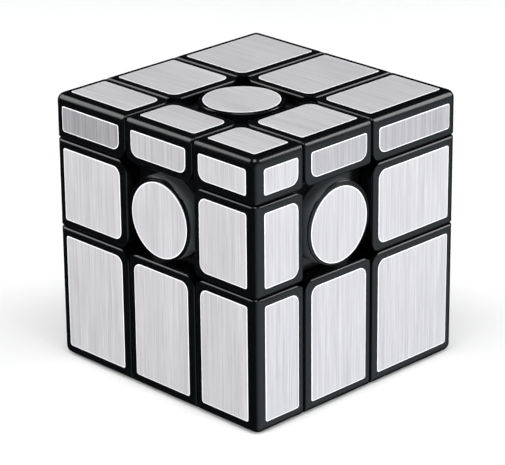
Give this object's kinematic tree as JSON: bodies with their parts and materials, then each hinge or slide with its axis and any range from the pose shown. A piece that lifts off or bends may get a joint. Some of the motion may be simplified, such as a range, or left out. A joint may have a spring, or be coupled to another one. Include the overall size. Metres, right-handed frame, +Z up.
{
  "type": "mirror block cube",
  "caption": "Cube-shaped twisting puzzle with layers of unequal thickness: glossy black blocks with brushed silver mirror stickers, turning about a sprung core.",
  "frame": {"origin": "centre of the cube's square base, on the surface it stands on", "axes": "+Z up through the thin top layer, +X through the face of the nine-unit layer (right), -Y through the face of the seven-unit layer (front); the core centre is at x 1.87, y -5.6, z 37.33 mm"},
  "size_m": [0.056, 0.056, 0.056],
  "materials": {
    "black_plastic": "glossy moulded",
    "core_plastic": "matte moulded",
    "silver_foil": "brushed silver foil under clear film",
    "steel": "zinc plated"
  },
  "bodies": {
    "core": {"core": "core_plastic", "tension_screws": "steel", "spring_washers": "steel", "tension_springs": "steel"},
    "right_centre": {"right_centre": "black_plastic", "right_centre_sticker": "silver_foil"},
    "left_centre": {"left_centre": "black_plastic", "left_centre_sticker": "silver_foil"},
    "back_centre": {"back_centre": "black_plastic", "back_centre_sticker": "silver_foil"},
    "front_centre": {"front_centre": "black_plastic", "front_centre_sticker": "silver_foil"},
    "top_centre": {"top_centre": "black_plastic", "top_centre_sticker": "silver_foil"},
    "bottom_centre": {"bottom_centre": "black_plastic", "bottom_centre_sticker": "silver_foil"},
    "edge_right_back": {"edge_right_back": "black_plastic", "edge_right_back_stickers": "silver_foil"},
    "edge_right_front": {"edge_right_front": "black_plastic", "edge_right_front_stickers": "silver_foil"},
    "edge_left_back": {"edge_left_back": "black_plastic", "edge_left_back_stickers": "silver_foil"},
    "edge_left_front": {"edge_left_front": "black_plastic", "edge_left_front_stickers": "silver_foil"},
    "edge_right_top": {"edge_right_top": "black_plastic", "edge_right_top_stickers": "silver_foil"},
    "edge_right_bottom": {"edge_right_bottom": "black_plastic", "edge_right_bottom_stickers": "silver_foil"},
    "edge_left_top": {"edge_left_top": "black_plastic", "edge_left_top_stickers": "silver_foil"},
    "edge_left_bottom": {"edge_left_bottom": "black_plastic", "edge_left_bottom_stickers": "silver_foil"},
    "edge_back_top": {"edge_back_top": "black_plastic", "edge_back_top_stickers": "silver_foil"},
    "edge_back_bottom": {"edge_back_bottom": "black_plastic", "edge_back_bottom_stickers": "silver_foil"},
    "edge_front_top": {"edge_front_top": "black_plastic", "edge_front_top_stickers": "silver_foil"},
    "edge_front_bottom": {"edge_front_bottom": "black_plastic", "edge_front_bottom_stickers": "silver_foil"},
    "corner_right_front_top": {"corner_right_front_top": "black_plastic", "corner_right_front_top_stickers": "silver_foil"},
    "corner_right_front_bottom": {"corner_right_front_bottom": "black_plastic", "corner_right_front_bottom_stickers": "silver_foil"},
    "corner_right_back_top": {"corner_right_back_top": "black_plastic", "corner_right_back_top_stickers": "silver_foil"},
    "corner_right_back_bottom": {"corner_right_back_bottom": "black_plastic", "corner_right_back_bottom_stickers": "silver_foil"},
    "corner_left_front_top": {"corner_left_front_top": "black_plastic", "corner_left_front_top_stickers": "silver_foil"},
    "corner_left_front_bottom": {"corner_left_front_bottom": "black_plastic", "corner_left_front_bottom_stickers": "silver_foil"},
    "corner_left_back_top": {"corner_left_back_top": "black_plastic", "corner_left_back_top_stickers": "silver_foil"},
    "corner_left_back_bottom": {"corner_left_back_bottom": "black_plastic", "corner_left_back_bottom_stickers": "silver_foil"}
  },
  "joints": [
    {"name": "right_face_turn", "type": "hinge", "parent": "core", "child": "right_centre", "pos_m": [0.00187, -0.0056, 0.03733], "axis": [1, 0, 0], "continuous": true},
    {"name": "left_face_turn", "type": "hinge", "parent": "core", "child": "left_centre", "pos_m": [0.00187, -0.0056, 0.03733], "axis": [-1, 0, 0], "continuous": true},
    {"name": "back_face_turn", "type": "hinge", "parent": "core", "child": "back_centre", "pos_m": [0.00187, -0.0056, 0.03733], "axis": [0, 1, 0], "continuous": true},
    {"name": "front_face_turn", "type": "hinge", "parent": "core", "child": "front_centre", "pos_m": [0.00187, -0.0056, 0.03733], "axis": [0, -1, 0], "continuous": true},
    {"name": "top_face_turn", "type": "hinge", "parent": "core", "child": "top_centre", "pos_m": [0.00187, -0.0056, 0.03733], "axis": [0, 0, 1], "continuous": true},
    {"name": "bottom_face_turn", "type": "hinge", "parent": "core", "child": "bottom_centre", "pos_m": [0.00187, -0.0056, 0.03733], "axis": [0, 0, -1], "continuous": true},
    {"name": "edge_right_back_with_back_face", "type": "hinge", "parent": "right_centre", "child": "edge_right_back", "pos_m": [0.00187, -0.0056, 0.03733], "axis": [0, 1, 0], "continuous": true},
    {"name": "edge_right_front_with_front_face", "type": "hinge", "parent": "right_centre", "child": "edge_right_front", "pos_m": [0.00187, -0.0056, 0.03733], "axis": [0, -1, 0], "continuous": true},
    {"name": "edge_left_back_with_left_face", "type": "hinge", "parent": "back_centre", "child": "edge_left_back", "pos_m": [0.00187, -0.0056, 0.03733], "axis": [-1, 0, 0], "continuous": true},
    {"name": "edge_left_front_with_left_face", "type": "hinge", "parent": "front_centre", "child": "edge_left_front", "pos_m": [0.00187, -0.0056, 0.03733], "axis": [-1, 0, 0], "continuous": true},
    {"name": "edge_right_top_with_top_face", "type": "hinge", "parent": "right_centre", "child": "edge_right_top", "pos_m": [0.00187, -0.0056, 0.03733], "axis": [0, 0, 1], "continuous": true},
    {"name": "edge_right_bottom_with_bottom_face", "type": "hinge", "parent": "right_centre", "child": "edge_right_bottom", "pos_m": [0.00187, -0.0056, 0.03733], "axis": [0, 0, -1], "continuous": true},
    {"name": "edge_left_top_with_left_face", "type": "hinge", "parent": "top_centre", "child": "edge_left_top", "pos_m": [0.00187, -0.0056, 0.03733], "axis": [-1, 0, 0], "continuous": true},
    {"name": "edge_left_bottom_with_left_face", "type": "hinge", "parent": "bottom_centre", "child": "edge_left_bottom", "pos_m": [0.00187, -0.0056, 0.03733], "axis": [-1, 0, 0], "continuous": true},
    {"name": "edge_back_top_with_top_face", "type": "hinge", "parent": "back_centre", "child": "edge_back_top", "pos_m": [0.00187, -0.0056, 0.03733], "axis": [0, 0, 1], "continuous": true},
    {"name": "edge_back_bottom_with_back_face", "type": "hinge", "parent": "bottom_centre", "child": "edge_back_bottom", "pos_m": [0.00187, -0.0056, 0.03733], "axis": [0, 1, 0], "continuous": true},
    {"name": "edge_front_top_with_front_face", "type": "hinge", "parent": "top_centre", "child": "edge_front_top", "pos_m": [0.00187, -0.0056, 0.03733], "axis": [0, -1, 0], "continuous": true},
    {"name": "edge_front_bottom_with_bottom_face", "type": "hinge", "parent": "front_centre", "child": "edge_front_bottom", "pos_m": [0.00187, -0.0056, 0.03733], "axis": [0, 0, -1], "continuous": true},
    {"name": "corner_right_front_top_with_top_face", "type": "hinge", "parent": "edge_right_front", "child": "corner_right_front_top", "pos_m": [0.00187, -0.0056, 0.03733], "axis": [0, 0, 1], "continuous": true},
    {"name": "corner_right_front_bottom_with_bottom_face", "type": "hinge", "parent": "edge_right_front", "child": "corner_right_front_bottom", "pos_m": [0.00187, -0.0056, 0.03733], "axis": [0, 0, -1], "continuous": true},
    {"name": "corner_right_back_top_with_top_face", "type": "hinge", "parent": "edge_right_back", "child": "corner_right_back_top", "pos_m": [0.00187, -0.0056, 0.03733], "axis": [0, 0, 1], "continuous": true},
    {"name": "corner_right_back_bottom_with_bottom_face", "type": "hinge", "parent": "edge_right_back", "child": "corner_right_back_bottom", "pos_m": [0.00187, -0.0056, 0.03733], "axis": [0, 0, -1], "continuous": true},
    {"name": "corner_left_front_top_with_top_face", "type": "hinge", "parent": "edge_left_front", "child": "corner_left_front_top", "pos_m": [0.00187, -0.0056, 0.03733], "axis": [0, 0, 1], "continuous": true},
    {"name": "corner_left_front_bottom_with_bottom_face", "type": "hinge", "parent": "edge_left_front", "child": "corner_left_front_bottom", "pos_m": [0.00187, -0.0056, 0.03733], "axis": [0, 0, -1], "continuous": true},
    {"name": "corner_left_back_top_with_top_face", "type": "hinge", "parent": "edge_left_back", "child": "corner_left_back_top", "pos_m": [0.00187, -0.0056, 0.03733], "axis": [0, 0, 1], "continuous": true},
    {"name": "corner_left_back_bottom_with_bottom_face", "type": "hinge", "parent": "edge_left_back", "child": "corner_left_back_bottom", "pos_m": [0.00187, -0.0056, 0.03733], "axis": [0, 0, -1], "continuous": true}
  ],
  "couplings": [
    {"joint": "edge_right_back_with_back_face", "follows": "back_face_turn", "ratio": 1},
    {"joint": "edge_right_front_with_front_face", "follows": "front_face_turn", "ratio": 1},
    {"joint": "edge_left_back_with_left_face", "follows": "left_face_turn", "ratio": 1},
    {"joint": "edge_left_front_with_left_face", "follows": "left_face_turn", "ratio": 1},
    {"joint": "edge_right_top_with_top_face", "follows": "top_face_turn", "ratio": 1},
    {"joint": "edge_right_bottom_with_bottom_face", "follows": "bottom_face_turn", "ratio": 1},
    {"joint": "edge_left_top_with_left_face", "follows": "left_face_turn", "ratio": 1},
    {"joint": "edge_left_bottom_with_left_face", "follows": "left_face_turn", "ratio": 1},
    {"joint": "edge_back_top_with_top_face", "follows": "top_face_turn", "ratio": 1},
    {"joint": "edge_back_bottom_with_back_face", "follows": "back_face_turn", "ratio": 1},
    {"joint": "edge_front_top_with_front_face", "follows": "front_face_turn", "ratio": 1},
    {"joint": "edge_front_bottom_with_bottom_face", "follows": "bottom_face_turn", "ratio": 1},
    {"joint": "corner_right_front_top_with_top_face", "follows": "top_face_turn", "ratio": 1},
    {"joint": "corner_right_front_bottom_with_bottom_face", "follows": "bottom_face_turn", "ratio": 1},
    {"joint": "corner_right_back_top_with_top_face", "follows": "top_face_turn", "ratio": 1},
    {"joint": "corner_right_back_bottom_with_bottom_face", "follows": "bottom_face_turn", "ratio": 1},
    {"joint": "corner_left_front_top_with_top_face", "follows": "top_face_turn", "ratio": 1},
    {"joint": "corner_left_front_bottom_with_bottom_face", "follows": "bottom_face_turn", "ratio": 1},
    {"joint": "corner_left_back_top_with_top_face", "follows": "top_face_turn", "ratio": 1},
    {"joint": "corner_left_back_bottom_with_bottom_face", "follows": "bottom_face_turn", "ratio": 1}
  ]
}
